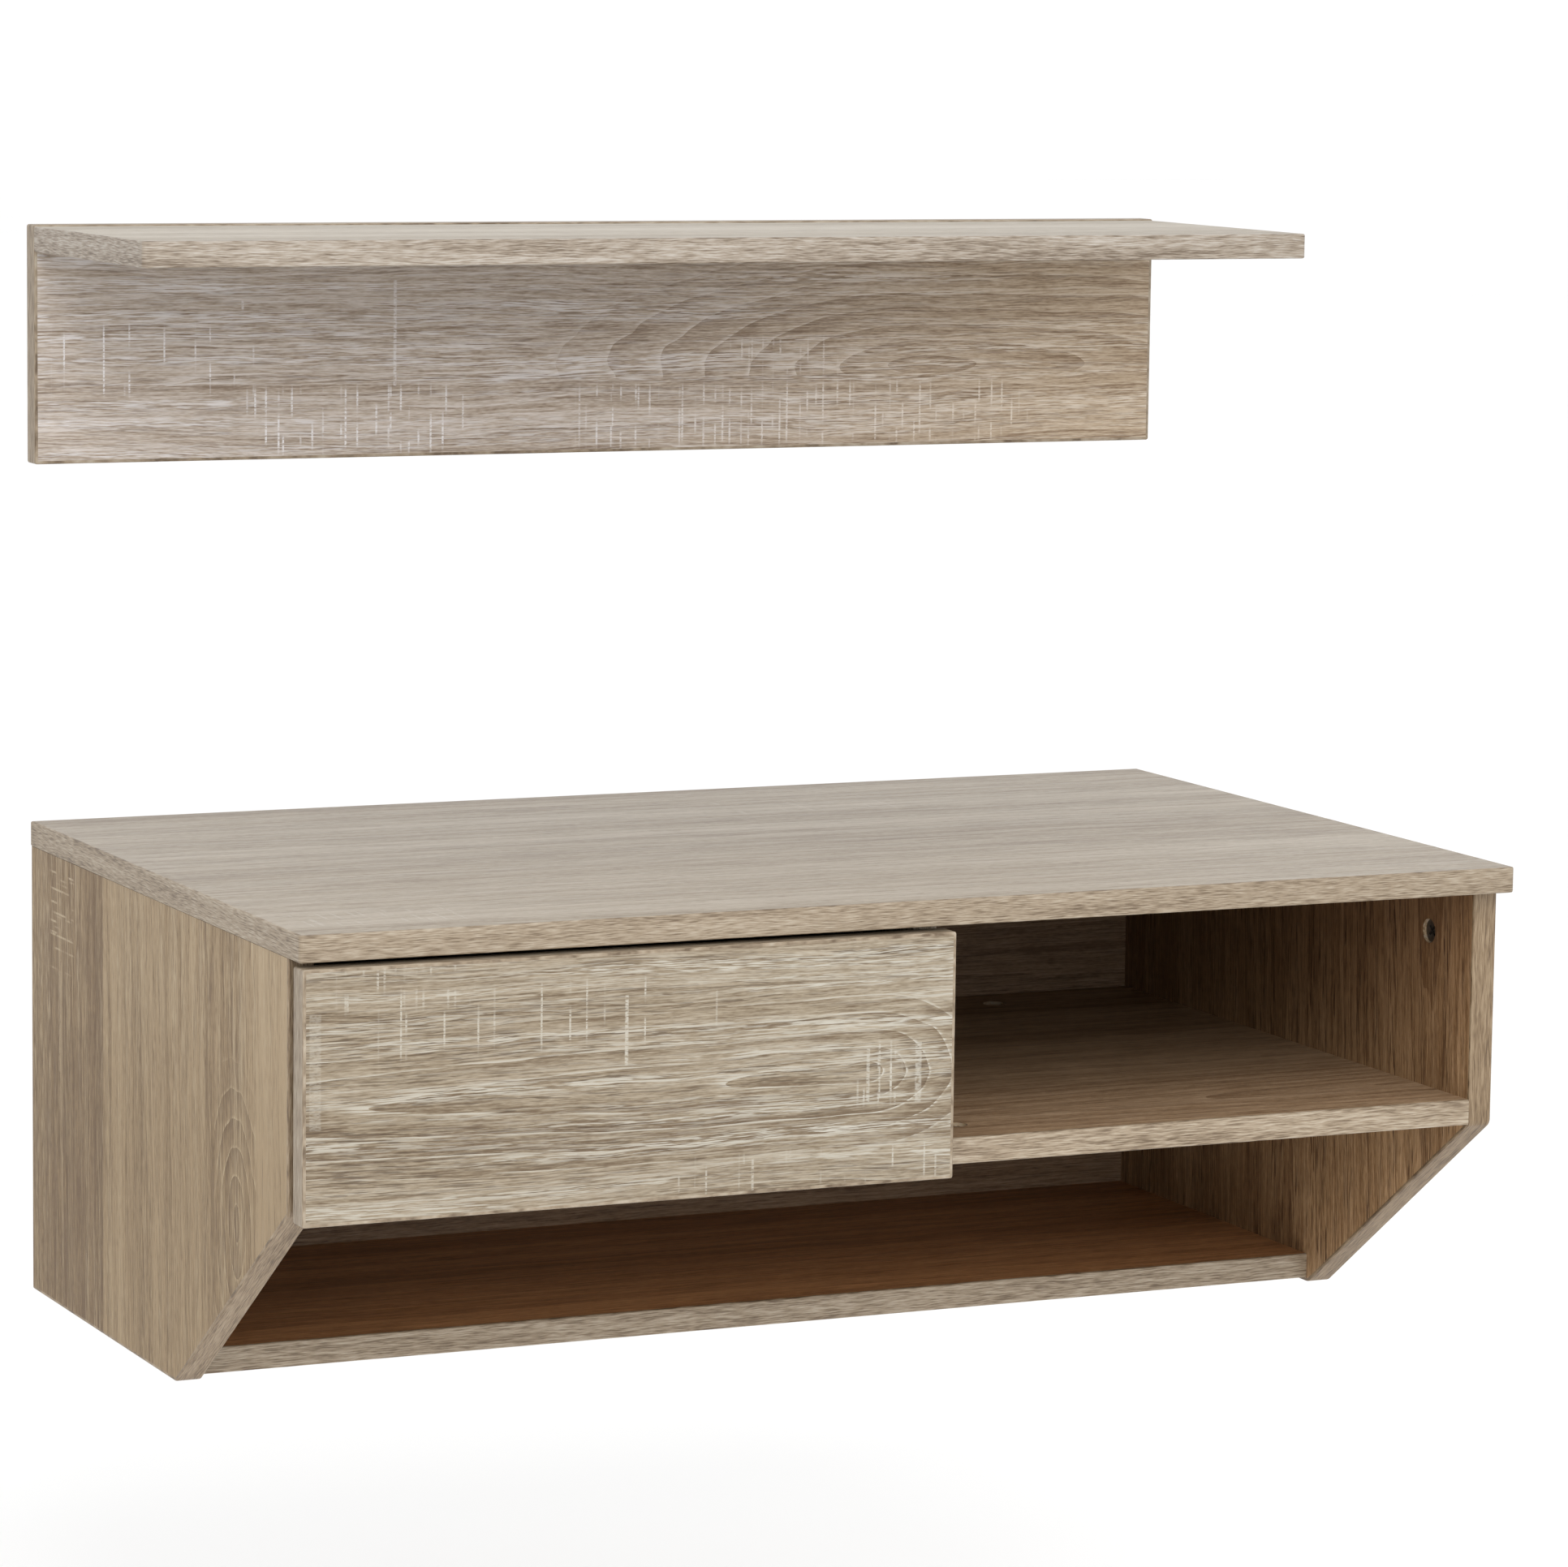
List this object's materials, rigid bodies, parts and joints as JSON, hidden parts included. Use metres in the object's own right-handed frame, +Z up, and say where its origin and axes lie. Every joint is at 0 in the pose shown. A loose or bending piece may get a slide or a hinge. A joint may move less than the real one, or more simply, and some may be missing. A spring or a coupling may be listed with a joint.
{
  "type": "wall-hung tv cabinet with wall shelf",
  "caption": "Wall-hung low TV cabinet with slanted lower sides, one handleless drawer on roller runners and two open compartments, with a matching wall shelf above.",
  "frame": {"origin": "on the wall plane, midway between the two keyhole entries that the cabinet hangs from", "axes": "+X along the wall to the right as seen from the room, +Y into the wall, +Z up; the front faces -Y"},
  "size_m": [0.8015, 0.504, 0.686],
  "materials": {
    "oak_board": "matt melamine, pale oak decor",
    "oak_edging": "matt edging, oak decor",
    "dowel_wood": "bare fluted beech",
    "hardboard": "printed hardboard",
    "zinc": "zinc plated",
    "white_steel": "white epoxy paint",
    "white_plastic": "moulded acetal"
  },
  "bodies": {
    "root": {"top_panel": "oak_board", "top_panel_edging": "oak_edging", "side_panel_left": "oak_board", "side_panel_right": "oak_board", "side_edging_left": "oak_edging", "side_edging_right": "oak_edging", "divider_panel": "oak_board", "divider_edging": "oak_edging", "shelf_panel_left": "oak_board", "shelf_panel_right": "oak_board", "shelf_edging_left": "oak_edging", "shelf_edging_right": "oak_edging", "bottom_panel": "oak_board", "bottom_edging": "oak_edging", "back_panel": "oak_board", "cam_locks": "zinc", "cam_bolts": "zinc", "wood_dowels": "dowel_wood", "hanger_plates": "zinc", "hanger_screws": "zinc", "runner_cabinet_left": "white_steel", "runner_cabinet_right": "white_steel", "runner_cabinet_screws": "zinc", "roller_pins_cabinet": "zinc", "wall_shelf_board": "oak_board", "wall_shelf_board_edging": "oak_edging", "wall_shelf_back": "oak_board", "wall_shelf_back_edging": "oak_edging", "wall_shelf_screws": "zinc", "wall_shelf_dowels": "dowel_wood", "wall_shelf_hanger_plates": "zinc", "wall_shelf_hanger_screws": "zinc"},
    "drawer": {"drawer_front": "oak_board", "drawer_front_edging": "oak_edging", "drawer_side_left": "oak_board", "drawer_side_right": "oak_board", "drawer_back": "oak_board", "drawer_bottom": "hardboard", "drawer_cam_locks": "zinc", "drawer_cam_bolts": "zinc", "drawer_dowels": "dowel_wood", "drawer_back_screws": "zinc", "runner_drawer_left": "white_steel", "runner_drawer_right": "white_steel", "runner_drawer_screws": "zinc", "roller_pins_drawer": "zinc"},
    "roller_cabinet_left": {"roller_cabinet_left": "white_plastic"},
    "roller_cabinet_right": {"roller_cabinet_right": "white_plastic"},
    "roller_drawer_left": {"roller_drawer_left": "white_plastic"},
    "roller_drawer_right": {"roller_drawer_right": "white_plastic"}
  },
  "joints": [
    {"name": "drawer_slide", "type": "slide", "parent": "root", "child": "drawer", "axis": [0, -1, 0], "range_m": [0, 0.3]},
    {"name": "roller_cabinet_left_spin", "type": "hinge", "parent": "root", "child": "roller_cabinet_left", "pos_m": [-0.3767, -0.466, -0.088], "axis": [1, 0, 0], "continuous": true},
    {"name": "roller_cabinet_right_spin", "type": "hinge", "parent": "root", "child": "roller_cabinet_right", "pos_m": [-0.0118, -0.466, -0.088], "axis": [1, 0, 0], "continuous": true},
    {"name": "roller_drawer_left_spin", "type": "hinge", "parent": "drawer", "child": "roller_drawer_left", "pos_m": [-0.3767, -0.098, -0.088], "axis": [1, 0, 0], "continuous": true},
    {"name": "roller_drawer_right_spin", "type": "hinge", "parent": "drawer", "child": "roller_drawer_right", "pos_m": [-0.0118, -0.098, -0.088], "axis": [1, 0, 0], "continuous": true}
  ],
  "couplings": [
    {"joint": "roller_cabinet_left_spin", "follows": "drawer_slide", "rad_per_m": 125},
    {"joint": "roller_cabinet_right_spin", "follows": "drawer_slide", "rad_per_m": 125},
    {"joint": "roller_drawer_left_spin", "follows": "drawer_slide", "rad_per_m": 125},
    {"joint": "roller_drawer_right_spin", "follows": "drawer_slide", "rad_per_m": 125}
  ]
}
